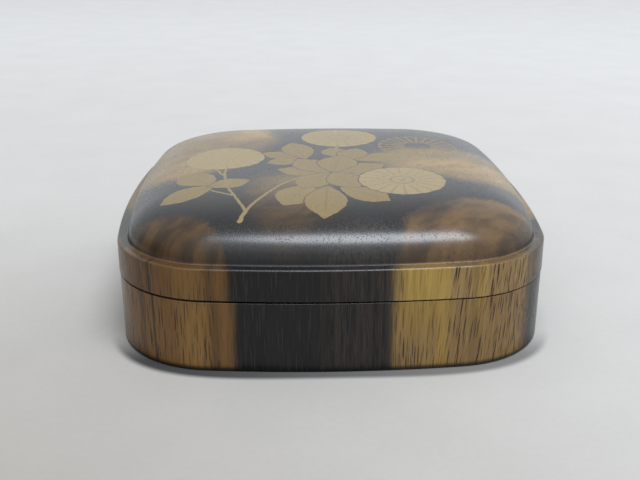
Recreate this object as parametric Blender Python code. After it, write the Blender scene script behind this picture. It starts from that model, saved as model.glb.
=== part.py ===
"""A small wooden incense box, rounded square from above: a shallow base and a domed lid that lifts off.

Metres, +Z up. The origin is the centre of the underside, and the four sides face along X and Y.
"""

import math

import bmesh
import bpy

# The outline, seen from above
WIDTH = 0.070            # across the lid's band, between the middles of two opposite sides
SIDE_BOW = 0.0010        # how far each side swells beyond a straight line between its corners
CORNER_RADIUS = 0.0162   # of the rounded corners, at the lid's band

# The outside, from the underside up
BASE_HEIGHT = 0.01125    # underside to the base's shoulder
SEAM_GAP = 0.0003        # open line between the base's shoulder and the lid's rim
BAND_HEIGHT = 0.0050     # upright side of the lid, from its rim to its ledge
LEDGE_WIDTH = 0.0017     # flat ledge that runs round the foot of the dome
DOME_RISE = 0.0072       # from the ledge to the crown
CROWN_FLATNESS = 5.4     # 2 would be an even dome; more keeps the crown flat further out
SHOULDER_ROUND = 0.49    # 0.5 rounds the shoulder like an ellipse; less makes it fuller
BASE_TAPER = 0.0004      # the base draws in this much on each side, down to its underside
LID_OVERHANG = 0.0001    # the lid's rim stands this far outside the base's shoulder

# Rounded edges
FOOT_ROUND = 0.0009      # round the underside
RIM_ROUND = 0.0002       # on both sides of the seam
BAND_ROUND = 0.0004      # between the band and the ledge
DOME_FILLET = 0.0004     # hollow corner between the ledge and the dome
LIP_ROUND = 0.0003       # along both edges of the lip's top
CAVITY_FILLET = 0.0030   # where the base's inner wall meets its floor

# The inside
FLOOR_THICKNESS = 0.0032
CROWN_THICKNESS = 0.0030  # of the lid, under the crown
RIM_WALL = 0.0024         # of the lid, where it closes round the lip
LIP_THICKNESS = 0.0014    # upright lip on the base that keeps the lid in its place
LIP_HEIGHT = 0.0028       # above the base's shoulder
LIP_CLEARANCE = 0.0003    # between the lip and the lid's rim wall
LIP_HEADROOM = 0.0005     # between the lip's top and the lid

# How finely the curves are cut into flat faces
SIDE_STEPS = 6
CORNER_STEPS = 10
EDGE_STEPS = 2
FILLET_STEPS = 4
DOME_STEPS = 13
HOLLOW_STEPS = 10
SMOOTH_ANGLE = math.radians(32)

# What follows from those sizes
LIP_INSET = RIM_WALL + LIP_CLEARANCE
CAVITY_INSET = LIP_INSET + LIP_THICKNESS
LIP_TOP = BASE_HEIGHT + LIP_HEIGHT
RIM_LEVEL = BASE_HEIGHT + SEAM_GAP
REBATE_DEPTH = LIP_TOP + LIP_HEADROOM - RIM_LEVEL
CROWN_LEVEL = BAND_HEIGHT + DOME_RISE


def clear_scene():
    for old in list(bpy.data.objects):
        bpy.data.objects.remove(old, do_unlink=True)


def wood(name, colour, roughness):
    material = bpy.data.materials.new(name)
    material.use_nodes = True
    shader = material.node_tree.nodes["Principled BSDF"]
    shader.inputs["Base Color"].default_value = (*colour, 1)
    shader.inputs["Roughness"].default_value = roughness
    shader.inputs["Metallic"].default_value = 0
    material.diffuse_color = (*colour, 1)
    return material


def arc_points(centre, radius, start, end, steps):
    """Points on a circle in the plan, the last one left out because the next arc starts there."""
    angles = [start + (end - start) * i / steps for i in range(steps)]
    return [(centre[0] + radius * math.cos(a), centre[1] + radius * math.sin(a)) for a in angles]


def outline(inset):
    """The rounded square, drawn in by inset: each side is a shallow arc that runs on into its corners."""
    half_chord = WIDTH / 2 - CORNER_RADIUS
    bow_radius = (half_chord**2 + SIDE_BOW**2) / (2 * SIDE_BOW)
    bow_centre = WIDTH / 2 - bow_radius
    # The corner's centre lies on the diagonal, where its circle touches the side's circle from within
    reach = bow_radius - CORNER_RADIUS
    corner = (bow_centre + math.sqrt(2 * reach**2 - bow_centre**2)) / 2
    join = math.atan2(corner, corner - bow_centre)
    side = arc_points((bow_centre, 0), bow_radius - inset, -join, join, SIDE_STEPS)
    turned = math.pi / 2 - join
    round_corner = arc_points((corner, corner), CORNER_RADIUS - inset, join, turned, CORNER_STEPS)
    points = []
    for x, y in ((1, 0), (0, 1), (-1, 0), (0, -1)):
        points += [(x * px - y * py, y * px + x * py) for px, py in side + round_corner]
    return points


def ring(inset, height, share=1.0):
    """One level of a surface: the outline drawn in by inset, then shrunk to a share about the centre."""
    return [(share * x, share * y, height) for x, y in outline(inset)]


def edge_rings(inset, height, radius, start, end, steps=EDGE_STEPS):
    """A rounded edge seen in section: 0 degrees faces outwards, 90 up, 180 inwards and -90 down."""
    angles = [math.radians(start + (end - start) * i / steps) for i in range(steps + 1)]
    return [ring(inset - radius * math.cos(a), height + radius * math.sin(a)) for a in angles]


def dome_rings(inset, foot, rise, start_height, steps):
    """A dome over the outline drawn in by inset, from start_height above its foot, without its top point.

    Its height is rise * (1 - share ** CROWN_FLATNESS) ** SHOULDER_ROUND at each share of the outline.
    """
    first = math.asin((start_height / rise) ** (0.5 / SHOULDER_ROUND))
    angles = [first + (math.pi / 2 - first) * i / steps for i in range(steps)]
    rings = []
    for angle in angles:
        share = math.cos(angle) ** (2 / CROWN_FLATNESS)
        rings.append(ring(inset, foot + rise * math.sin(angle) ** (2 * SHOULDER_ROUND), share))
    return rings


def solid(name, rings, end_heights, material, location):
    """One closed body through the rings in order; each end closes towards a point on the centre line."""
    bm = bmesh.new()
    levels = [[bm.verts.new(point) for point in points] for points in rings]
    for lower, upper in zip(levels, levels[1:]):
        for i in range(len(lower)):
            bm.faces.new((lower[i - 1], lower[i], upper[i], upper[i - 1]))
    for level, height in zip((levels[0], levels[-1]), end_heights):
        cap = bm.faces.new(level)
        centre = bmesh.ops.poke(bm, faces=[cap])["verts"][0]
        centre.co.z = height
    bmesh.ops.recalc_face_normals(bm, faces=bm.faces)
    mesh = bpy.data.meshes.new(name)
    bm.to_mesh(mesh)
    bm.free()
    mesh.shade_smooth()
    mesh.set_sharp_from_angle(angle=SMOOTH_ANGLE)
    mesh.materials.append(material)
    body = bpy.data.objects.new(name, mesh)
    body.location = location
    bpy.context.collection.objects.link(body)
    return body


def make_base(material):
    """The lower half, cut from one block: floor, walls, shoulder and the upright lip inside the shoulder."""
    outside = edge_rings(BASE_TAPER + FOOT_ROUND, FOOT_ROUND, FOOT_ROUND, -90, 0, FILLET_STEPS)
    outside += edge_rings(LID_OVERHANG + RIM_ROUND, BASE_HEIGHT - RIM_ROUND, RIM_ROUND, 0, 90)
    lip = [ring(LIP_INSET, BASE_HEIGHT)]
    lip += edge_rings(LIP_INSET + LIP_ROUND, LIP_TOP - LIP_ROUND, LIP_ROUND, 0, 90)
    lip += edge_rings(CAVITY_INSET - LIP_ROUND, LIP_TOP - LIP_ROUND, LIP_ROUND, 90, 180)
    cavity = edge_rings(
        CAVITY_INSET + CAVITY_FILLET, FLOOR_THICKNESS + CAVITY_FILLET, CAVITY_FILLET, 0, -90, FILLET_STEPS
    )
    return solid("base", outside + lip + cavity, (0, FLOOR_THICKNESS), material, (0, 0, 0))


def make_lid(material):
    """The domed upper half, its heights counted from its rim; its rebate closes round the base's lip."""
    hollow = dome_rings(
        CAVITY_INSET, REBATE_DEPTH, CROWN_LEVEL - CROWN_THICKNESS - REBATE_DEPTH, 0, HOLLOW_STEPS
    )
    rebate = [ring(CAVITY_INSET, REBATE_DEPTH), ring(RIM_WALL, REBATE_DEPTH), ring(RIM_WALL, 0)]
    band = edge_rings(RIM_ROUND, RIM_ROUND, RIM_ROUND, -90, 0)
    band += edge_rings(BAND_ROUND, BAND_HEIGHT - BAND_ROUND, BAND_ROUND, 0, 90)
    foot = edge_rings(
        LEDGE_WIDTH - DOME_FILLET, BAND_HEIGHT + DOME_FILLET, DOME_FILLET, -90, -180
    )
    dome = dome_rings(LEDGE_WIDTH, BAND_HEIGHT, DOME_RISE, DOME_FILLET, DOME_STEPS)
    surface = hollow[:0:-1] + rebate + band + foot[:-1] + dome
    heights = (CROWN_LEVEL - CROWN_THICKNESS, CROWN_LEVEL)
    return solid("lid", surface, heights, material, (0, 0, RIM_LEVEL))


clear_scene()
make_base(wood("base_wood", (0.145, 0.100, 0.052), 0.42))
make_lid(wood("lid_wood", (0.105, 0.085, 0.066), 0.36))
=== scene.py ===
"""A small wooden incense box with a painted lid, laid out as an add-on and run as a script.

The box is a rounded square of black and tan wood. Its shallow base and its domed lid are each turned
out of one block, and the lid's crown carries flat gold flowers, leaves and stems.
"""

import math

import bmesh
import bpy
from bpy.props import FloatProperty, FloatVectorProperty, PointerProperty
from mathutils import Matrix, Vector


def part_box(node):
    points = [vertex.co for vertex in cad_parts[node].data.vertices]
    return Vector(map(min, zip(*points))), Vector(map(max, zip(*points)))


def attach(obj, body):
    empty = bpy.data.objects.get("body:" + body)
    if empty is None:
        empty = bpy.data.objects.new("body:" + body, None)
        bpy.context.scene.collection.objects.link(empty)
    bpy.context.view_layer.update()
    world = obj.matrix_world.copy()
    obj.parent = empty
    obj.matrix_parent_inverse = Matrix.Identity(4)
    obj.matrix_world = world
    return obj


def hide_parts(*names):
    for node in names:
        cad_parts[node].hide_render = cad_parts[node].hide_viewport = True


bl_info = {
    "name": "Incense Box",
    "version": (1, 0, 0),
    "blender": (4, 5, 0),
    "location": "3D View > Sidebar > Incense Box",
    "description": "Models a small lidded wooden box with flat gold painting, and its studio",
    "category": "Add Mesh",
}

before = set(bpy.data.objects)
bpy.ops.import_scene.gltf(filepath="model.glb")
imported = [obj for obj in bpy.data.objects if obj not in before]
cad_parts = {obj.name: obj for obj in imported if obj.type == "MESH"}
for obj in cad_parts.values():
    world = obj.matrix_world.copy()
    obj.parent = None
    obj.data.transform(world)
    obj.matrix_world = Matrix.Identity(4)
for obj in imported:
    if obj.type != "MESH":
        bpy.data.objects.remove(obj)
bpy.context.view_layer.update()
BASE_LOW, BASE_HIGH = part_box("base")
LID_LOW, LID_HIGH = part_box("lid")
MM = 0.001


# Settings that a user would change


def length(name, description, default):
    return FloatProperty(
        name=name, description=description, default=default, min=0, unit="LENGTH", precision=5
    )


def colour(name, description, default):
    return FloatVectorProperty(
        name=name, description=description, default=default, subtype="COLOR", size=3, min=0, max=1
    )


def amount(name, description, default, low=0, high=1):
    return FloatProperty(name=name, description=description, default=default, min=low, max=high)


class BoxSizes(bpy.types.PropertyGroup):
    """Sizes of the base and the lid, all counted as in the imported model"""

    width: length("Width", "Across the lid's band", LID_HIGH[0] - LID_LOW[0])
    side_bow: length("Side bow", "How far each side swells beyond a straight line", 0.0010)
    corner_radius: length("Corner radius", "Of the rounded corners at the band", 0.0162)
    base_height: length("Base height", "Underside to the base's shoulder", LID_LOW[2] - 0.00026)
    lip_top: length("Lip top", "Underside to the top of the base's lip", BASE_HIGH[2])
    rim_level: length("Rim level", "Underside to the lid's rim", LID_LOW[2] - 0.00006)
    rim_tip: FloatProperty(
        name="Rim tip", description="Makes the seam wider at the left", default=-0.0028, unit="ROTATION"
    )
    ledge_level: length("Ledge level", "Underside to the lid's ledge", LID_LOW[2] + 0.0050)
    crown_level: length("Crown level", "Underside to the lid's crown", LID_HIGH[2])
    ledge_width: length("Ledge width", "Flat ledge round the foot of the dome", 0.0017)
    taper: length("Taper", "How far the base draws in towards its underside", 0.0002)
    overhang: length("Overhang", "How far the lid's rim stands outside the base", 0.0001)
    floor: length("Floor", "Thickness of the base's floor", 0.0032)
    crown: length("Crown", "Thickness of the lid under its crown", 0.0030)
    rim_wall: length("Rim wall", "Thickness of the lid round the lip", 0.0024)
    lip_thickness: length("Lip thickness", "Of the base's upright lip", 0.0014)
    lip_clearance: length("Lip clearance", "Between the lip and the lid", 0.0003)
    foot_round: length("Foot round", "Rounding of the underside's edge", 0.0004)
    band_round: length("Band round", "Rounding between band and ledge", 0.00028)
    dome_fillet: length("Dome fillet", "Hollow corner at the foot of the dome", 0.00032)
    seam_round: length("Seam round", "Rounding on both sides of the seam", 0.00015)
    lip_round: length("Lip round", "Rounding of the lip's top", 0.0003)
    cavity_fillet: length("Cavity fillet", "Where the inner wall meets the floor", 0.0030)
    flatness: amount("Crown flatness", "More keeps the crown flat further out", 5.4, 2, 9)
    shoulder: amount("Shoulder", "Less makes the dome's shoulder fuller", 0.49, 0.3, 0.7)


class WoodLook(bpy.types.PropertyGroup):
    """Colours of the figured wood"""

    black: colour("Black", "Heartwood", (0.0036, 0.0036, 0.0038))
    soot: colour("Brown black", "Streaks in the heartwood", (0.0210, 0.0155, 0.0120))
    tan: colour("Tan", "Dull light wood of the side", (0.106, 0.053, 0.016))
    ochre: colour("Ochre", "Light wood of the side", (0.186, 0.122, 0.048))
    yellow: colour("Yellow", "Clear yellow places in the side", (0.240, 0.156, 0.040))
    brown: colour("Brown", "Light wood low on the dome, at the left", (0.044, 0.022, 0.006))
    tawny: colour("Tawny", "Light wood low on the dome, at the right", (0.066, 0.037, 0.014))
    fawn: colour("Fawn", "Light wood on the crown", (0.094, 0.058, 0.016))
    orange: colour("Orange", "Warm core of the light wood", (0.160, 0.096, 0.026))
    russet: colour("Russet", "Tint beside the pores", (0.098, 0.044, 0.018))
    pore: colour("Pore", "Pore lines in the light wood", (0.008, 0.005, 0.004))
    dust: colour("Dust", "Filled pores in the heartwood", (0.020, 0.018, 0.017))
    roughness: amount("Roughness", "Of the rubbed finish", 0.26)


class GoldLook(bpy.types.PropertyGroup):
    """Colours of the flat painting"""

    leaf: colour("Leaf gold", "Leaves and stems", (0.150, 0.109, 0.050))
    flower: colour("Flower gold", "Flowers", (0.200, 0.154, 0.080))
    roughness: amount("Roughness", "Of the sprinkled gold", 0.42)


class StageLook(bpy.types.PropertyGroup):
    """Floor, light and camera"""

    # The floor's colour inside the painted shadow at the near left, and outside it
    shadowed_floor: colour("Near floor", "Pale floor in front", (0.190, 0.175, 0.155))
    far_floor: colour("Far floor", "Pale floor behind", (0.362, 0.352, 0.340))
    sky: colour("Room", "Even light of the room", (0.920, 0.960, 1.0))
    sky_strength: amount("Room strength", "Of the even light", 1.24, 0, 5)
    top_light: FloatProperty(
        name="Top light", description="Power of the soft light overhead", default=25, unit="POWER"
    )
    top_colour: colour("Top light colour", "Of the soft light overhead", (0.86, 0.92, 1.0))
    camera_place: FloatVectorProperty(
        name="Camera", description="Where the camera stands",
        default=(-0.00663, -0.1630, 0.0684), unit="LENGTH", precision=5,
    )
    camera_turn: FloatVectorProperty(
        name="Camera turn", description="Tilt, roll and turn of the camera",
        default=(math.pi / 2 - 0.3526, 0.0, -0.0332), unit="ROTATION",
    )
    lens: FloatProperty(name="Lens", description="Focal length", default=53.95, unit="CAMERA")


# Modelling: how finely the shapes are divided, and how near counts as the same place
SIDE_STEPS = 18
CORNER_STEPS = 26
FILLET_STEPS = 4
DOME_STEPS = 22
DOME_LAST = math.radians(76)
CROWN_RINGS = (0.84, 0.67, 0.50, 0.34, 0.19, 0.07)
SHARP_ANGLE = math.radians(40)
SAME_POINT = 0.000002
SAME_LEVEL = 0.00002
SAME_LOOP = 0.00006
# Room left above the lip, and the height of the first step of the lid's hollow
LIP_HEADROOM = 0.0005
HOLLOW_FOOT = 0.0004


class Outline:
    """The outline seen from above, four shallow arcs and four rounded corners, from the sizes"""

    def __init__(self, sizes):
        half = sizes.width / 2
        self.radius = sizes.corner_radius
        chord = half - self.radius
        self.bow_radius = (chord**2 + sizes.side_bow**2) / (2 * sizes.side_bow)
        self.bow_centre = half - self.bow_radius
        reach = self.bow_radius - self.radius
        self.corner = (self.bow_centre + math.sqrt(2 * reach**2 - self.bow_centre**2)) / 2
        self.join = math.atan2(self.corner, self.corner - self.bow_centre)

    def inset(self, x, y):
        """How far a point lies inside the outline"""
        x, y = max(abs(x), abs(y)), min(abs(x), abs(y))
        if math.atan2(y, x - self.bow_centre) < self.join:
            return self.bow_radius - math.hypot(x - self.bow_centre, y)
        return self.radius - math.hypot(x - self.corner, y - self.corner)


def to_object_mode():
    if bpy.context.object and bpy.context.object.mode != "OBJECT":
        bpy.ops.object.mode_set(mode="OBJECT")
    bpy.ops.object.select_all(action="DESELECT")


def rounded_square(name, line, inset, height):
    """A plane merged to one point and spun round the outline; its face stays selected in edit mode"""
    to_object_mode()
    bpy.ops.mesh.primitive_plane_add(size=0.01, location=(0, 0, 0))
    piece = bpy.context.object
    piece.name = piece.data.name = name
    bpy.ops.object.mode_set(mode="EDIT")
    bpy.ops.mesh.select_mode(type="VERT")
    bpy.ops.mesh.merge(type="CENTER")
    reach = line.bow_radius - inset
    start = (line.bow_centre + reach * math.cos(line.join), -reach * math.sin(line.join), height)
    bpy.ops.transform.translate(value=start)
    for x, y in ((1, 0), (0, 1), (-1, 0), (0, -1)):
        side = (line.bow_centre * x, line.bow_centre * y, height)
        corner = (line.corner * (x - y), line.corner * (y + x), height)
        bpy.ops.mesh.spin(steps=SIDE_STEPS, angle=-2 * line.join, center=side, axis=(0, 0, 1))
        turn = math.pi / 2 - 2 * line.join
        bpy.ops.mesh.spin(steps=CORNER_STEPS, angle=-turn, center=corner, axis=(0, 0, 1))
    bpy.ops.mesh.select_all(action="SELECT")
    bpy.ops.mesh.remove_doubles(threshold=SAME_LEVEL)
    bpy.ops.mesh.edge_face_add()
    bpy.ops.mesh.select_mode(type="FACE")
    return piece


def raise_face(height):
    bpy.ops.mesh.extrude_region_move(TRANSFORM_OT_translate={"value": (0, 0, height)})


def inset_face(width):
    bpy.ops.mesh.inset(thickness=width, depth=0, use_even_offset=True)


def shrink_face(share):
    bpy.ops.transform.resize(value=(share, share, 1), center_override=(0, 0, 0))


def select_faces(piece, test):
    """Selects the faces of which test(centre, normal) holds"""
    bpy.ops.mesh.select_mode(type="FACE")
    bpy.ops.mesh.select_all(action="DESELECT")
    mesh = bmesh.from_edit_mesh(piece.data)
    for face in mesh.faces:
        face.select_set(test(face.calc_center_median(), face.normal))
    bmesh.update_edit_mesh(piece.data)


def select_below(piece, level):
    """Selects the vertices that lie below a level"""
    bpy.ops.mesh.select_mode(type="VERT")
    bpy.ops.mesh.select_all(action="DESELECT")
    mesh = bmesh.from_edit_mesh(piece.data)
    for vertex in mesh.verts:
        vertex.select_set(vertex.co.z < level)
    mesh.select_flush_mode()
    bmesh.update_edit_mesh(piece.data)


def taper_foot(piece, sizes):
    """Draws the foot's loops in, so that the base's wall leans a little"""
    select_below(piece, sizes.foot_round * 1.01)
    shrink_face(1 - (sizes.taper - sizes.overhang) / (sizes.width / 2))


def tip_rim(piece, sizes):
    """Tips the lid's rim a little, so that the seam is wider at the left than at the right"""
    select_below(piece, sizes.rim_level + sizes.seam_round * 1.5)
    bpy.ops.transform.rotate(
        value=sizes.rim_tip, orient_axis="Y", orient_type="GLOBAL",
        center_override=(0, 0, sizes.rim_level),
    )


def round_edge(piece, line, inset, height, radius, steps):
    """Bevels the loop of edges that lies at this inset and height"""
    bpy.ops.mesh.select_mode(type="EDGE")
    bpy.ops.mesh.select_all(action="DESELECT")
    mesh = bmesh.from_edit_mesh(piece.data)
    for edge in mesh.edges:
        edge.select_set(all(
            abs(vertex.co.z - height) < SAME_LOOP
            and abs(line.inset(vertex.co.x, vertex.co.y) - inset) < SAME_LOOP
            for vertex in edge.verts
        ))
    bmesh.update_edit_mesh(piece.data)
    bpy.ops.mesh.bevel(
        offset=radius, offset_type="OFFSET", segments=steps, profile=0.5, affect="EDGES"
    )


def dome_face(height, rise, sizes, lowest, level):
    """Carries the selected face up through a dome's levels and closes it with a point

    The dome's foot is at height. The face starts at level, and its first stop is lowest above the foot.
    """
    first = math.asin((lowest / rise) ** (0.5 / sizes.shoulder))
    turns = [first + (DOME_LAST - first) * i / DOME_STEPS for i in range(DOME_STEPS + 1)]
    shares = [math.cos(turn) ** (2 / sizes.flatness) for turn in turns]
    shares += [shares[-1] * ring for ring in CROWN_RINGS]
    now = 1.0
    for share in shares:
        target = height + rise * (1 - share**sizes.flatness) ** sizes.shoulder
        raise_face(target - level)
        shrink_face(share / now)
        now, level = share, target
    bpy.ops.mesh.poke()


def finish_piece(piece, material, node):
    """Normals, smooth shading and what the frame has to know"""
    bpy.ops.mesh.select_all(action="SELECT")
    bpy.ops.mesh.remove_doubles(threshold=SAME_POINT)
    bpy.ops.mesh.normals_make_consistent(inside=False)
    bpy.ops.object.mode_set(mode="OBJECT")
    bpy.ops.object.shade_smooth_by_angle(angle=SHARP_ANGLE)
    modifier = piece.modifiers.new("Weighted normals", "WEIGHTED_NORMAL")
    modifier.keep_sharp = True
    bpy.ops.object.modifier_apply(modifier=modifier.name)
    piece.data.materials.clear()
    piece.data.materials.append(material)
    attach(piece, "root")
    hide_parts(node)


# Shader maths as Python expressions


class Socket:
    """A node's output. Python's operators on it add Math nodes."""

    def __init__(self, graph, link):
        self.graph, self.link = graph, link

    def math(self, operation, *others):
        return self.graph.math(operation, self, *others)

    def __add__(self, other):
        return self.math("ADD", other)

    def __radd__(self, other):
        return self.math("ADD", other)

    def __sub__(self, other):
        return self.math("SUBTRACT", other)

    def __rsub__(self, other):
        return self.graph.math("SUBTRACT", other, self)

    def __mul__(self, other):
        return self.math("MULTIPLY", other)

    def __rmul__(self, other):
        return self.math("MULTIPLY", other)

    def __truediv__(self, other):
        return self.math("DIVIDE", other)

    def __pow__(self, other):
        return self.math("POWER", other)

    def __abs__(self):
        return self.math("ABSOLUTE")

    def most(self, other):
        return self.math("MAXIMUM", other)

    def least(self, other):
        return self.math("MINIMUM", other)

    def ramp(self, start, end):
        """0 at start, 1 at end, smooth between; start may be the larger"""
        return self.graph.node(
            "ShaderNodeMapRange", {"interpolation_type": "SMOOTHSTEP"},
            {"Value": self, "From Min": start, "From Max": end},
        )


class Graph:
    """The nodes of one material, or of the room's light"""

    def __init__(self, name, tree=None):
        self.tree = tree
        if tree is None:
            self.material = bpy.data.materials.new(name)
            self.material.use_nodes = True
            self.tree = self.material.node_tree
            self.shader = self.tree.nodes["Principled BSDF"]

    def node(self, kind, settings=None, inputs=None, output=0):
        """Any node: its settings come first, then the values or links of its sockets"""
        made = self.tree.nodes.new(kind)
        for name, value in (settings or {}).items():
            setattr(made, name, value)
        for key, value in (inputs or {}).items():
            if isinstance(value, Socket):
                self.tree.links.new(value.link, made.inputs[key])
            else:
                made.inputs[key].default_value = value
        return Socket(self, made.outputs[output])

    def math(self, operation, *operands):
        return self.node("ShaderNodeMath", {"operation": operation}, dict(enumerate(operands)))

    def vector(self, operation, *operands, output=0):
        settings = {"operation": operation}
        return self.node("ShaderNodeVectorMath", settings, dict(enumerate(operands)), output)

    def mix(self, share, first, second, blend="MIX"):
        paint = [value if isinstance(value, Socket) else (*value, 1) for value in (first, second)]
        settings = {"data_type": "RGBA", "blend_type": blend}
        return self.node("ShaderNodeMix", settings, {0: share, 6: paint[0], 7: paint[1]}, 2)

    def tint(self, colour, factor):
        """The colour multiplied by another one"""
        return self.mix(1.0, colour, factor, "MULTIPLY")

    def split(self, place):
        parts = self.node("ShaderNodeSeparateXYZ", None, {0: place})
        return [Socket(self, out) for out in parts.link.node.outputs]

    def join(self, x, y, z):
        return self.node("ShaderNodeCombineXYZ", None, {0: x, 1: y, 2: z})

    def stretch(self, place, x, y, z):
        return self.vector("MULTIPLY", place, (x, y, z))

    def noise(self, place, scale, detail=2.0, roughness=0.5, output=0):
        return self.node(
            "ShaderNodeTexNoise", None,
            {"Vector": place, "Scale": scale, "Detail": detail, "Roughness": roughness}, output,
        )

    def local(self, x, y, centre, turn=0.0):
        """How far a place lies from a centre, along a direction in degrees and across it

        Plain Math nodes, one after another, keep the painting within the room for one material.
        """
        cosine, sine = math.cos(math.radians(turn)), math.sin(math.radians(turn))
        across, up = centre
        back_u, back_v = -across * cosine - up * sine, across * sine - up * cosine
        u = x.math("MULTIPLY_ADD", cosine, y.math("MULTIPLY_ADD", sine, back_u))
        v = y.math("MULTIPLY_ADD", cosine, x.math("MULTIPLY_ADD", -sine, back_v))
        return u, v

    def hypotenuse(self, u, v):
        return u.math("MULTIPLY_ADD", u, v * v).math("SQRT")

    def feed(self, **links):
        for name, value in links.items():
            socket = self.shader.inputs[name.replace("_", " ")]
            if isinstance(value, Socket):
                self.tree.links.new(value.link, socket)
            else:
                socket.default_value = value


# Light wood in the black, in millimetres from above: centre, half sizes, turn, softness, strength
LIGHT_PATCHES = (
    ((-28.5, -37.5), (13.0, 13.5), 0, 0.9, 1.0),
    ((-37.5, -24.0), (5.0, 8.5), 0, 0.9, 1.0),
    ((37.5, -24.0), (5.0, 8.0), 0, 1.2, 0.6),
    ((27.0, -38.0), (19.0, 17.0), 0, 1.1, 1.0),
    ((-26.0, 20.0), (17.0, 29.0), 0, 2.4, 1.0),
    ((-6.5, -20.0), (7.0, 10.5), 0, 2.6, 0.75),
    ((26.0, -3.0), (18.0, 9.5), -10, 2.0, 1.0),
    ((6.0, 38.0), (11.0, 9.0), 0, 1.5, 0.9),
)
# Dark places inside the light wood
DARK_PATCHES = (
    ((36.0, -27.0), (6.5, 7.0), 0, 1.5, 1.0),
    ((16.5, -24.0), (2.0, 5.5), -35, 1.5, 0.7),
    ((-12.0, 8.0), (4.5, 5.0), 0, 2.5, 0.7),
    ((-7.0, 20.0), (3.0, 12.0), 12, 2.0, 0.8),
    ((26.0, -17.0), (8.0, 3.0), 5, 1.5, 0.9),
)
# Fine dark streaks that run down the side, and sooty brown places in the black
STREAK_PATCHES = (
    ((-18.8, -34.5), (0.7, 4.0), 0, 0.5, 0.40),
    ((-28.4, -31.7), (0.30, 2.5), -38, 0.16, 0.85),
    ((-30.6, -30.0), (0.5, 2.5), -45, 0.4, 0.40),
    ((20.8, -34.0), (0.6, 4.0), 0, 0.6, 0.25),
    ((-33.0, 4.0), (3.0, 0.8), 0, 0.6, 0.40),
    ((32.5, 3.0), (4.0, 0.5), 0, 0.5, 0.45),
)
SOOT_PATCHES = (
    ((4.0, -36.0), (6.0, 8.0), 0, 2.0, 1.0),
    ((-9.0, 32.0), (5.0, 8.0), 0, 2.0, 0.8),
    ((32.0, 22.0), (9.0, 5.0), 0, 2.0, 0.8),
)
YELLOW_PATCHES = (
    ((13.0, -36.5), (4.4, 5.0), 0, 1.2, 1.0),
    ((21.5, -36.0), (1.4, 5.0), 0, 1.0, 0.7),
    ((-22.0, -36.5), (2.2, 5.0), 0, 1.2, 0.6),
    ((30.0, -4.0), (8.0, 3.0), 0, 1.5, 0.8),
)
ORANGE_PATCHES = (
    ((24.0, -5.0), (9.0, 5.0), -12, 2.5, 1.0),
    ((-12.5, 16.0), (4.0, 9.0), 6, 2.5, 0.9),
    ((-24.0, -4.0), (7.0, 6.0), 20, 3.0, 0.5),
)


def patches(graph, x, y, rough, rows):
    """The share of light or dark wood at a place, from the rows above"""
    total = None
    for centre, size, turn, soft, strength in rows:
        u, v = graph.local(x, y, centre, turn)
        reach = graph.hypotenuse(u / size[0], v / size[1])
        inside = (1 - reach) * min(size) + rough
        share = inside.ramp(-soft, soft) * strength
        total = share if total is None else total.most(share)
    return total


# Levels where the figure changes, and where the painted shade at the foot is full and where it clears, in
# millimetres above the underside
SEAM_FOOT, SEAM_TOP = 11.2, 11.6
CROWN_FOOT, CROWN_TOP = 16.3, 16.8
FOOT_SHADE, FOOT_CLEAR = 0.35, 1.1
# The groove round the dome's foot, from its lower and its upper side
GROOVE_FROM, GROOVE_TO = (16.58, 16.66), (17.30, 16.90)
# How far the noise is drawn out along the grain: less is longer
FIGURE_GRAIN = 0.05
STREAK_GRAIN = 0.03
FIBRE_GRAIN = 0.035
CROWD_GRAIN = 0.12
# Left and right of the box's middle, where the tan side wood passes into ochre
LEFT_TONE, RIGHT_TONE = -6, 10
# Coarse and fine pores: draw along the grain, cells in a millimetre, thickness of a tube
PORES = ((0.044, 3.2, 0.33), (0.030, 5.2, 0.25))
PORE_LEAN = -0.10
HALF = (0.5, 0.5, 0.5)
PLAIN = (1.0, 1.0, 1.0)
# The finish: depth of the pores in the bump, and how it reflects
BUMP_STRENGTH = 0.30
BUMP_DEPTH = 0.00005
FINISH_IOR = 1.38
GOLD_METALLIC = 0.35


def bend(graph, place, parts, along):
    """The slow drift of the grain, and where a place comes from once drift and feathering are added"""
    x, _, z = parts
    drift = graph.vector("SUBTRACT", graph.noise(along, 0.11, 2, output=1), HALF)
    feather = graph.vector("SUBTRACT", graph.noise(along, 0.55, 4, 0.6, output=1), HALF)
    bent = graph.vector("MULTIPLY_ADD", drift, (3.0, 3.0, 0), place)
    bent = graph.vector("MULTIPLY_ADD", feather, (1.2, 1.2, 0), bent)
    # The lid sits a little turned, so one edge of the black doesn't quite meet across the seam
    step = graph.join(z.ramp(SEAM_TOP, SEAM_FOOT) * x.ramp(2, -8) * -0.7, 0.0, 0.0)
    return drift, graph.vector("ADD", bent, step)


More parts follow.
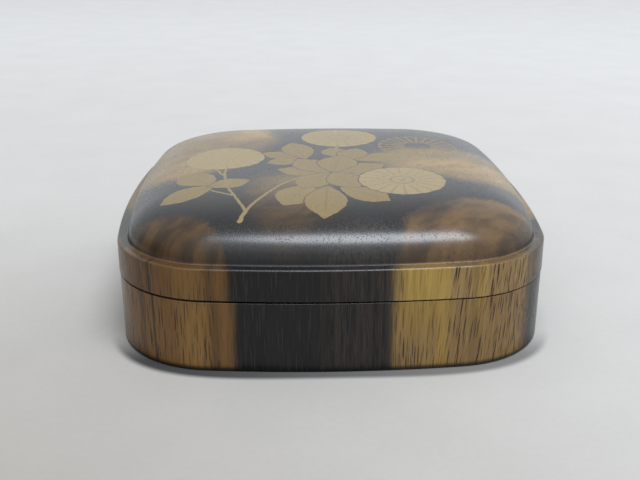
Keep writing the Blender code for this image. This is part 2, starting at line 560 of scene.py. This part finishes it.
def pale_wood(graph, look, parts, bent, rough, grain):
    """Colour of the light wood: tan, ochre and yellow on the sides, brown to fawn on the dome"""
    x, _, z = parts
    bent_x, bent_y = bent
    streak, fibre, cloud = grain
    orange = patches(graph, bent_x, bent_y, rough, ORANGE_PATCHES)
    dome = graph.mix(x.ramp(-8, 12), look.brown, look.tawny)
    dome = graph.mix(bent_y.ramp(-26, -8), dome, look.fawn)
    dome = graph.mix(orange * 0.70, dome, look.orange)
    side = graph.mix(x.ramp(LEFT_TONE, RIGHT_TONE), look.tan, look.ochre)
    yellow = patches(graph, bent_x, bent_y, rough, YELLOW_PATCHES)
    yellow = yellow * z.ramp(2.0, 12.0).most(cloud.ramp(0.5, 0.6))
    side = graph.mix(yellow * (0.35 + x.ramp(LEFT_TONE, RIGHT_TONE) * 0.65), side, look.yellow)
    # The two blocks differ a little: the lid is duller at the left, the base at the right
    dull = abs(z.ramp(SEAM_FOOT, SEAM_TOP) - x.ramp(LEFT_TONE, RIGHT_TONE))
    side = graph.tint(side, graph.mix(dull, PLAIN, (0.82, 0.79, 0.76)))
    u, v = graph.local(bent_x, bent_y, (0, 0), 32)
    figure = graph.noise(graph.join(u * 0.55, v * 1.3, z * 0.05), 0.36, 4, 0.55).ramp(0.30, 0.68)
    crown = z.ramp(CROWN_FOOT, CROWN_TOP)
    shade = streak.ramp(0.30, 0.62) * 0.45 + fibre.ramp(0.3, 0.7) * 0.25 + cloud.ramp(0.3, 0.7) * 0.30
    side = graph.tint(side, graph.mix(shade, (0.70, 0.67, 0.64), (1.12, 1.12, 1.09)))
    deep = graph.mix(bent_y.ramp(-25, -12), (0.36, 0.35, 0.36), (0.78, 0.76, 0.72))
    dome = graph.tint(dome, graph.mix(figure, deep, (1.16, 1.14, 1.10)))
    return graph.mix(crown, side, dome), yellow, crown


def pores(graph, place, parts, drift):
    """Thin tubes along the grain, dashes on the sides and dots on the crown, and the stain beside them"""
    x, _, z = parts
    lean = graph.join(z * PORE_LEAN * x.ramp(10, 20), 0.0, 0.0)
    leaning = graph.vector("ADD", graph.vector("MULTIPLY_ADD", drift, (1.5, 1.5, 0), place), lean)
    crowd = graph.noise(graph.stretch(place, 1, 1, CROWD_GRAIN), 0.33, 2)
    pore, stain = None, None
    for rise, scale, thick in PORES:
        cells = {"Vector": graph.stretch(leaning, 1, 1, rise), "Scale": scale, "Randomness": 1.0}
        tube = graph.node("ShaderNodeTexVoronoi", {"voronoi_dimensions": "3D"}, cells)
        dash = tube.ramp(thick, thick * 0.74)
        beside = tube.ramp(thick * 1.9, thick)
        pore = dash if pore is None else pore.most(dash)
        stain = beside if stain is None else stain.most(beside)
    return pore, stain, crowd


def wood(graph, look):
    """Colour, roughness and height of the wood, all from the place in the block"""
    place = graph.vector("SCALE", graph.node("ShaderNodeTexCoord", None, None, 3))
    place.link.node.inputs["Scale"].default_value = 1 / MM
    parts = graph.split(place)
    x, _, z = parts
    along = graph.stretch(place, 1, 1, FIGURE_GRAIN)
    drift, bent = bend(graph, place, parts, along)
    bent_x, bent_y, _ = graph.split(bent)
    rough = (graph.noise(along, 1.6, 4, 0.65) - 0.5) * 2.4
    light = patches(graph, bent_x, bent_y, rough, LIGHT_PATCHES)
    dark = patches(graph, bent_x, bent_y, rough, DARK_PATCHES)
    lines = patches(graph, bent_x, bent_y, rough * 0.1, STREAK_PATCHES)
    dark = dark * (1 - z.ramp(SEAM_FOOT, SEAM_TOP) * 0.2)
    light = light * (1 - dark) * (1 - lines)
    soot = patches(graph, bent_x, bent_y, rough, SOOT_PATCHES)

    streak = graph.noise(graph.stretch(place, 1, 1, STREAK_GRAIN), 1.9, 4, 0.6)
    fibre = graph.noise(graph.stretch(place, 1, 1, FIBRE_GRAIN), 7.0, 2, 0.6)
    cloud = graph.noise(along, 0.20, 3, 0.55)
    pale, yellow, crown = pale_wood(graph, look, parts, (bent_x, bent_y), rough, (streak, fibre, cloud))
    veil = (soot * 0.5 + 0.10) * streak.ramp(0.36, 0.60)
    veil = veil + fibre.ramp(0.52, 0.74) * (0.30 + soot * 0.65)
    black = graph.mix(veil, look.black, look.soot)
    colour = graph.mix(light, black, pale)

    pore, stain, crowd = pores(graph, place, parts, drift)
    crowd = crowd.ramp(0.26, 0.46).most(0.5) * (1 - yellow * 0.7)
    pore = pore * crowd
    stain = stain * crowd * light * (1 - crown) * (x.ramp(14, 22) * 0.25 + 0.25)
    colour = graph.mix(stain, colour, look.russet)
    inlay = graph.mix(light.ramp(0.3, 0.7), look.dust, look.pore)
    colour = graph.mix(pore * (0.45 + light * 0.50) * (1 - crown * 0.50), colour, inlay)

    # Painted shade darkens the foot all round, and the flat faces across the grain are darker too
    normal = graph.node("ShaderNodeNewGeometry", None, None, 1)
    end_grain = abs(graph.split(normal)[2]).ramp(0.25, 0.85) * (1 - crown)
    foot = z.ramp(FOOT_CLEAR, FOOT_SHADE) * (1 - end_grain) * 0.85
    colour = graph.mix(foot, colour, look.black)
    colour = graph.mix(end_grain, colour, graph.tint(colour, (0.50, 0.49, 0.52)))
    # The groove at the dome's foot is rubbed less than the rest, so it shines less
    groove = z.ramp(*GROOVE_FROM) * z.ramp(*GROOVE_TO)
    roughness = look.roughness + pore * 0.2 + (fibre - 0.5) * 0.10 + groove * 0.35
    height = fibre * 0.25 - pore * (0.6 - crown * 0.42)
    return place, parts, colour, roughness, height


def wood_material(name, look, gold=None):
    """The figured wood, with the painting over it where gold is given"""
    graph = Graph(name)
    place, parts, paint, roughness, height = wood(graph, look)
    metallic = 0.0
    if gold:
        cover, tone = painting(graph, place, parts)
        powder = graph.noise(place, 6.0, 2, 0.7)
        gilt = graph.mix(tone, gold.leaf, gold.flower)
        gilt = graph.tint(gilt, graph.mix(powder.ramp(0.3, 0.7), (0.80, 0.79, 0.77), (1.16, 1.16, 1.16)))
        cover = cover * powder.ramp(0.14, 0.34)
        paint = graph.mix(cover, paint, gilt)
        roughness = roughness + cover * (gold.roughness - look.roughness)
        metallic = cover * GOLD_METALLIC
    bump = graph.node(
        "ShaderNodeBump", None, {"Strength": BUMP_STRENGTH, "Distance": BUMP_DEPTH, "Height": height}
    )
    graph.feed(Base_Color=paint, Roughness=roughness, Metallic=metallic, Normal=bump, IOR=FINISH_IOR)
    return graph.material


# The gold painting, in millimetres from above, seen with the stem's foot nearest.
# The stems: start, end, thickness at the start and at the end
STEMS = (
    ((-14.1, -28.2), (-13.3, -25.8), 0.78, 0.62),
    ((-13.3, -25.8), (-15.2, -20.5), 0.50, 0.45),
    ((-15.2, -20.5), (-16.8, -15.5), 0.46, 0.42),
    ((-16.8, -15.5), (-17.4, -9.0), 0.46, 0.44),
    ((-17.4, -9.0), (-17.2, -5.0), 0.46, 0.44),
    ((-17.3, -10.5), (-19.2, -5.5), 0.42, 0.38),
    ((-15.3, -20.3), (-19.5, -17.2), 0.40, 0.34),
    ((-13.3, -25.8), (-11.2, -21.5), 0.50, 0.46),
    ((-11.2, -21.5), (-8.0, -15.5), 0.46, 0.42),
    ((-8.0, -15.5), (-3.2, -9.5), 0.42, 0.38),
    ((1.2, 3.0), (2.4, 8.4), 0.90, 0.70),
)
# The lobes of the leaves, the lowest layer first: foot, tip, width
LOBES = (
    ((-19.0, -15.2), (-24.6, -7.4), 6.4),
    ((-18.6, -15.3), (-26.9, -20.7), 5.4),
    ((-19.8, -15.8), (-13.0, -12.9), 4.8),
    ((-4.6, 0.2), (-11.4, 3.8), 4.8),
    ((-4.4, -0.6), (-10.4, -3.2), 4.6),
    ((-3.8, -0.6), (-6.2, 11.0), 5.8),
    ((2.2, 0.4), (1.0, 7.0), 5.2),
    ((4.6, -1.8), (13.6, 2.4), 5.0),
    ((3.2, -1.8), (5.8, 6.4), 5.6),
    ((-0.6, -9.6), (-8.6, -6.8), 5.4),
    ((1.0, -9.2), (9.6, -4.4), 6.2),
    ((0.0, -9.6), (-5.2, -0.4), 6.4),
    ((0.6, -9.0), (2.6, 1.6), 7.0),
    ((1.6, -12.6), (6.6, -11.4), 5.2),
    ((-3.2, -15.9), (-7.7, -24.4), 6.6),
    ((1.4, -17.0), (8.9, -23.2), 5.7),
    ((0.0, -9.0), (-4.8, -17.6), 6.0),
    ((0.6, -9.0), (4.4, -17.6), 6.4),
    ((-0.5, -16.6), (-1.5, -28.3), 6.7),
)
# Filled flowers: centre, radius, petals, turn
FLOWERS = (
    ((2.8, 14.8), 7.1, 18, 5),
    ((-17.8, 0.8), 6.9, 17, 0),
    ((11.7, -13.6), 7.1, 18, 9),
)
# The flower drawn in lines alone
OPEN_FLOWER = ((17.0, 8.0), 7.4, 22, 4)
# Half the softness of a painted edge, and the bare gap round a figure that lies on top
PAINT_EDGE = 0.08
GAP_FROM, GAP_TO = -0.08, -0.34
# Share of the gold that the veins and the lines between petals leave out
VEIN_DEPTH = 0.34
PETAL_DEPTH = 0.40
# Side veins: how steeply they leave the rib, and half the space from one to the next
VEIN_SLOPE = -1.3
VEIN_SPACE = 1.1
# A flower's ring, the edge of its eye and the outer ends of its petals, as shares of its radius
RING = 0.27
EYE = (0.14, 0.10)
PETAL_NOTCH, PETAL_SWELL = 0.985, 0.015
OPEN_RIM, OPEN_SWELL = 0.92, 0.06
# The curve of a lobe's side, and where it is widest
LOBE_RISE, LOBE_FALL, LOBE_TIP = 0.8, 2.5, 1.15
LOBE_WIDEST = 0.543
# The painting lies on the crown only
PAINT_FROM = (20.9, 21.1)


def stem_gap(graph, plan, row):
    """How far inside a stem a place lies, in millimetres"""
    start, end, thick, thin = row
    reach = math.hypot(end[0] - start[0], end[1] - start[1])
    turn = math.degrees(math.atan2(end[1] - start[1], end[0] - start[0]))
    u, v = graph.local(*plan, start, turn)
    t = u.most(0).least(reach)
    off = graph.hypotenuse(u - t, v)
    return thick / 2 - t * ((thick - thin) / 2 / reach) - off


def lobe(graph, plan, foot, tip, width):
    """A blunt lobe of a leaf: how far inside it a place lies, and its veins"""
    reach = math.hypot(tip[0] - foot[0], tip[1] - foot[1])
    turn = math.degrees(math.atan2(tip[1] - foot[1], tip[0] - foot[0]))
    u, v = graph.local(*plan, foot, turn)
    held = u.most(0).least(reach)
    share = held / reach
    peak = LOBE_WIDEST**LOBE_RISE * (1 - LOBE_WIDEST**LOBE_FALL) ** LOBE_TIP
    half = share**LOBE_RISE * (1 - share**LOBE_FALL) ** LOBE_TIP * (width / 2 / peak)
    off = abs(v)
    depth = half - off - 0.06 - abs(u - held)
    rib = off.ramp(0.20, 0.06) * share.ramp(0.95, 0.70)
    side = off.math("MULTIPLY_ADD", VEIN_SLOPE, held).math("PINGPONG", VEIN_SPACE).ramp(0.17, 0.04)
    return depth, rib.most(side * 0.7)


def flower_parts(graph, plan, centre, petals, turn):
    """How far a place lies from the centre and from the line between two petals, and the petals' wave"""
    u, v = graph.local(*plan, centre, turn)
    reach = graph.hypotenuse(u, v)
    wave = abs((v.math("ARCTAN2", u) * (petals / 2)).math("SINE"))
    return reach, wave * reach * (2 / petals), wave


def painting(graph, place, parts):
    """Where the gold lies, and its tone from leaf to flower"""
    wobble = graph.vector("SUBTRACT", graph.noise(place, 0.9, 2, output=1), HALF)
    plan = graph.split(graph.vector("MULTIPLY_ADD", wobble, (0.5, 0.5, 0), place))[:2]
    depth = None
    for row in STEMS:
        here = stem_gap(graph, plan, row)
        depth = here if depth is None else depth.most(here)
    cover = depth.ramp(-PAINT_EDGE, PAINT_EDGE)
    tone = cover * 0.25
    for foot, tip, width in LOBES:
        inside, veins = lobe(graph, plan, foot, tip, width)
        cover = cover * inside.ramp(GAP_FROM, GAP_TO)
        cover = cover.most(inside.ramp(-PAINT_EDGE, PAINT_EDGE) * (1 - veins * VEIN_DEPTH))
    for centre, radius, petals, turn in FLOWERS:
        reach, gap, wave = flower_parts(graph, plan, centre, petals, turn)
        inside = radius * PETAL_NOTCH + wave * (radius * PETAL_SWELL) - reach
        line = gap.ramp(0.25, 0.06) * reach.ramp(0.32 * radius, 0.46 * radius)
        eye = reach.ramp(radius * EYE[0], radius * EYE[1]) * 0.5
        ring = abs(reach - radius * RING).ramp(0.42, 0.14).most(eye)
        cover = cover * inside.ramp(GAP_FROM, GAP_TO)
        cover = cover.most(inside.ramp(-PAINT_EDGE, PAINT_EDGE) * (1 - line.most(ring) * PETAL_DEPTH))
        tone = tone.most(inside.ramp(-PAINT_EDGE, PAINT_EDGE))
    centre, radius, petals, turn = OPEN_FLOWER
    reach, gap, wave = flower_parts(graph, plan, centre, petals, turn)
    stroke = gap.ramp(0.36, 0.16) * reach.ramp(0.28 * radius, 0.45 * radius)
    rim = abs(reach - radius * OPEN_RIM - wave * (radius * OPEN_SWELL)).ramp(0.34, 0.14)
    cover = cover.most(stroke.most(rim) * reach.ramp(radius, radius * 0.97) * 0.80)
    return cover * parts[2].ramp(*PAINT_FROM), tone


# The stage: sizes in metres, directions in the room
FLOOR_SIDE = 6
# Where the painted shadow on the floor is darkest
FLOOR_SHADOW_CENTRE = (-0.10, -0.13, 0)
LAMP_PLACE = (0.19, -0.385, 1.20)
LAMP_TILT = (math.radians(18), math.radians(7.5), 0)
LAMP_SIZE = (0.85, 0.55)
SENSOR_WIDTH = 36
# Parts of the room against its even light, and how far round each reaches
WALL_WAY, WALL_SPAN, WALL_SHARE = (0.93, 0.10, 0.36), (-0.92, -0.45), 0.20
GLOW_WAY, GLOW_SPAN, GLOW_SHARE = (0, -0.60, 0.80), (0.86, 0.995), 2.0
LEFT_SHARE, RIGHT_SHARE = 0.84, 1.12
# A plain curve |x|^n + |y|^n = r^n that follows the foot's outline, for the painted contact shadow on the
# floor
OUTLINE_REACH = 0.0346
OUTLINE_POWER = 3.88
SHADE_SPAN = (0.078, 0.038)
SHADE_COLOUR = (0.02, 0.02, 0.02)


def floor_material(look):
    """A pale floor with a painted shadow at the near left, and a soft painted contact shadow along the
    box's foot
    """
    graph = Graph("Pale floor")
    place = graph.node("ShaderNodeTexCoord", None, None, 3)
    away = graph.vector("DISTANCE", place, FLOOR_SHADOW_CENTRE, output=1)
    mottle = graph.noise(place, 60, 3) * 0.6 + graph.noise(place, 900, 2) * 0.4
    # Painted shadow: the floor is darkest near the front left and grows paler further off
    out_of_shadow = away.ramp(0.05, 0.20) * 0.6 + away.ramp(0.15, 0.50) * 0.4
    tint = graph.mix(out_of_shadow, look.shadowed_floor, look.far_floor)
    tint = graph.tint(tint, graph.mix(mottle.ramp(0.3, 0.7), (0.975,) * 3, (1.025,) * 3))
    x, y, _ = graph.split(place)
    round_x = abs(x / OUTLINE_REACH) ** OUTLINE_POWER
    round_y = abs(y / OUTLINE_REACH) ** OUTLINE_POWER
    outside = (round_x + round_y) ** (1 / OUTLINE_POWER) - 1
    # The painted contact shadow is strongest along the front, and weaker towards the right
    weight = (y.ramp(-0.020, -0.031) * 0.92 + 0.05) * (1 - x.ramp(-0.030, 0.028) * 0.33)
    # Painted contact shadow: a dark band on the floor along the box's foot
    contact_shadow = outside.ramp(*SHADE_SPAN) * weight
    tint = graph.mix(contact_shadow, tint, SHADE_COLOUR)
    graph.feed(Base_Color=tint, Roughness=0.9, Specular_IOR_Level=0.1)
    return graph.material


def room_light(look):
    """Even light, with a darker wall at the left and a glow from above the camera"""
    world = bpy.data.worlds.new("Room light")
    world.use_nodes = True
    back = world.node_tree.nodes["Background"]
    back.inputs["Strength"].default_value = look.sky_strength
    sky = Graph("Room light", world.node_tree)
    way = sky.node("ShaderNodeTexCoord")
    facing = sky.vector("DOT_PRODUCT", way, WALL_WAY, output=1).ramp(*WALL_SPAN)
    glow = sky.vector("DOT_PRODUCT", way, GLOW_WAY, output=1).ramp(*GLOW_SPAN)
    rightward = sky.vector("DOT_PRODUCT", way, (1, 0, 0), output=1).ramp(-1, 1)
    wall, bright, left, right = (
        [value * share for value in look.sky]
        for share in (WALL_SHARE, GLOW_SHARE, LEFT_SHARE, RIGHT_SHARE)
    )
    even = sky.mix(rightward, left, right)
    room = sky.mix(glow, sky.mix(facing, wall, even), bright)
    world.node_tree.links.new(room.link, back.inputs["Color"])
    return world


# Operators, one for each piece and one for the stage


class INCENSEBOX_OT_base(bpy.types.Operator):
    """Model the shallow base with its floor, walls and upright lip"""

    bl_idname = "incense_box.base"
    bl_label = "Base"

    def execute(self, context):
        sizes = context.scene.incense_box_sizes
        line = Outline(sizes)
        lip_inset = sizes.rim_wall + sizes.lip_clearance
        cavity_inset = lip_inset + sizes.lip_thickness
        piece = rounded_square("box_base", line, sizes.overhang, 0)
        raise_face(sizes.base_height)
        inset_face(lip_inset - sizes.overhang)
        raise_face(sizes.lip_top - sizes.base_height)
        inset_face(sizes.lip_thickness)
        raise_face(sizes.floor - sizes.lip_top)
        round_edge(piece, line, cavity_inset, sizes.floor, sizes.cavity_fillet, steps=7)
        round_edge(piece, line, cavity_inset, sizes.lip_top, sizes.lip_round, steps=3)
        round_edge(piece, line, lip_inset, sizes.lip_top, sizes.lip_round, steps=3)
        round_edge(piece, line, sizes.overhang, sizes.base_height, sizes.seam_round, steps=3)
        round_edge(piece, line, sizes.overhang, 0, sizes.foot_round, steps=6)
        taper_foot(piece, sizes)
        material = wood_material("Figured wood", context.scene.incense_box_wood)
        finish_piece(piece, material, "base")
        return {"FINISHED"}


class INCENSEBOX_OT_lid(bpy.types.Operator):
    """Model the domed lid, hollow beneath, with its painted crown"""

    bl_idname = "incense_box.lid"
    bl_label = "Lid"

    def execute(self, context):
        sizes = context.scene.incense_box_sizes
        line = Outline(sizes)
        cavity_inset = sizes.rim_wall + sizes.lip_clearance + sizes.lip_thickness
        ledge = sizes.ledge_level
        rebate = sizes.lip_top + LIP_HEADROOM
        piece = rounded_square("box_lid", line, 0, sizes.rim_level)
        raise_face(ledge - sizes.rim_level)
        inset_face(sizes.ledge_width - sizes.dome_fillet)
        turns = [math.pi / 2 * i / FILLET_STEPS for i in range(FILLET_STEPS + 1)]
        for before, after in zip(turns, turns[1:]):
            inset_face(sizes.dome_fillet * (math.sin(after) - math.sin(before)))
            rise = sizes.dome_fillet * (math.cos(before) - math.cos(after))
            bpy.ops.transform.translate(value=(0, 0, rise))
        dome_rise = sizes.crown_level - ledge
        dome_face(ledge, dome_rise, sizes, sizes.dome_fillet * 1.25, ledge + sizes.dome_fillet)
        select_faces(
            piece,
            lambda centre, normal: abs(centre.z - sizes.rim_level) < SAME_LEVEL and abs(normal.z) > 0.9,
        )
        inset_face(sizes.rim_wall)
        raise_face(rebate - sizes.rim_level)
        inset_face(cavity_inset - sizes.rim_wall)
        hollow_rise = sizes.crown_level - sizes.crown - rebate
        dome_face(rebate, hollow_rise, sizes, HOLLOW_FOOT, rebate)
        round_edge(piece, line, 0, ledge, sizes.band_round, steps=4)
        round_edge(piece, line, 0, sizes.rim_level, sizes.seam_round, steps=3)
        round_edge(piece, line, sizes.rim_wall, sizes.rim_level, sizes.seam_round, steps=2)
        tip_rim(piece, sizes)
        scene = context.scene
        material = wood_material("Painted wood", scene.incense_box_wood, scene.incense_box_gold)
        finish_piece(piece, material, "lid")
        return {"FINISHED"}


class INCENSEBOX_OT_stage(bpy.types.Operator):
    """Set the pale floor, the soft light and the camera"""

    bl_idname = "incense_box.stage"
    bl_label = "Stage"

    def execute(self, context):
        look = context.scene.incense_box_stage
        to_object_mode()
        bpy.ops.mesh.primitive_plane_add(size=FLOOR_SIDE, location=(0, 0, 0))
        floor = context.object
        floor.name = floor.data.name = "stage_floor"
        floor.data.materials.append(floor_material(look))
        context.scene.world = room_light(look)
        context.scene.view_settings.view_transform = "Standard"

        bpy.ops.object.light_add(type="AREA", location=LAMP_PLACE, rotation=LAMP_TILT)
        lamp = context.object
        lamp.name = lamp.data.name = "Top light"
        lamp.data.shape = "ELLIPSE"
        lamp.data.size, lamp.data.size_y = LAMP_SIZE
        lamp.data.energy = look.top_light
        lamp.data.color = look.top_colour

        bpy.ops.object.camera_add(location=look.camera_place, rotation=look.camera_turn)
        camera = context.object
        camera.name = camera.data.name = "Photo camera"
        camera.data.lens = look.lens
        camera.data.sensor_width = SENSOR_WIDTH
        camera.data.clip_start = 0.01
        context.scene.camera = camera
        return {"FINISHED"}


class INCENSEBOX_PT_panel(bpy.types.Panel):
    """Lists the pieces of the incense box"""

    bl_idname = "INCENSEBOX_PT_panel"
    bl_label = "Incense Box"
    bl_space_type = "VIEW_3D"
    bl_region_type = "UI"
    bl_category = "Incense Box"

    def draw(self, context):
        for operator in OPERATORS:
            self.layout.operator(operator.bl_idname)


OPERATORS = (INCENSEBOX_OT_base, INCENSEBOX_OT_lid, INCENSEBOX_OT_stage)
GROUPS = {"sizes": BoxSizes, "wood": WoodLook, "gold": GoldLook, "stage": StageLook}


def register():
    for group in GROUPS.values():
        bpy.utils.register_class(group)
    for name, group in GROUPS.items():
        setattr(bpy.types.Scene, "incense_box_" + name, PointerProperty(type=group))
    for operator in OPERATORS:
        bpy.utils.register_class(operator)
    bpy.utils.register_class(INCENSEBOX_PT_panel)


def unregister():
    bpy.utils.unregister_class(INCENSEBOX_PT_panel)
    for operator in reversed(OPERATORS):
        bpy.utils.unregister_class(operator)
    for name in GROUPS:
        delattr(bpy.types.Scene, "incense_box_" + name)
    for group in reversed(GROUPS.values()):
        bpy.utils.unregister_class(group)


def main():
    register()
    bpy.ops.incense_box.base()
    bpy.ops.incense_box.lid()
    bpy.ops.incense_box.stage()


if __name__ == "__main__":
    main()
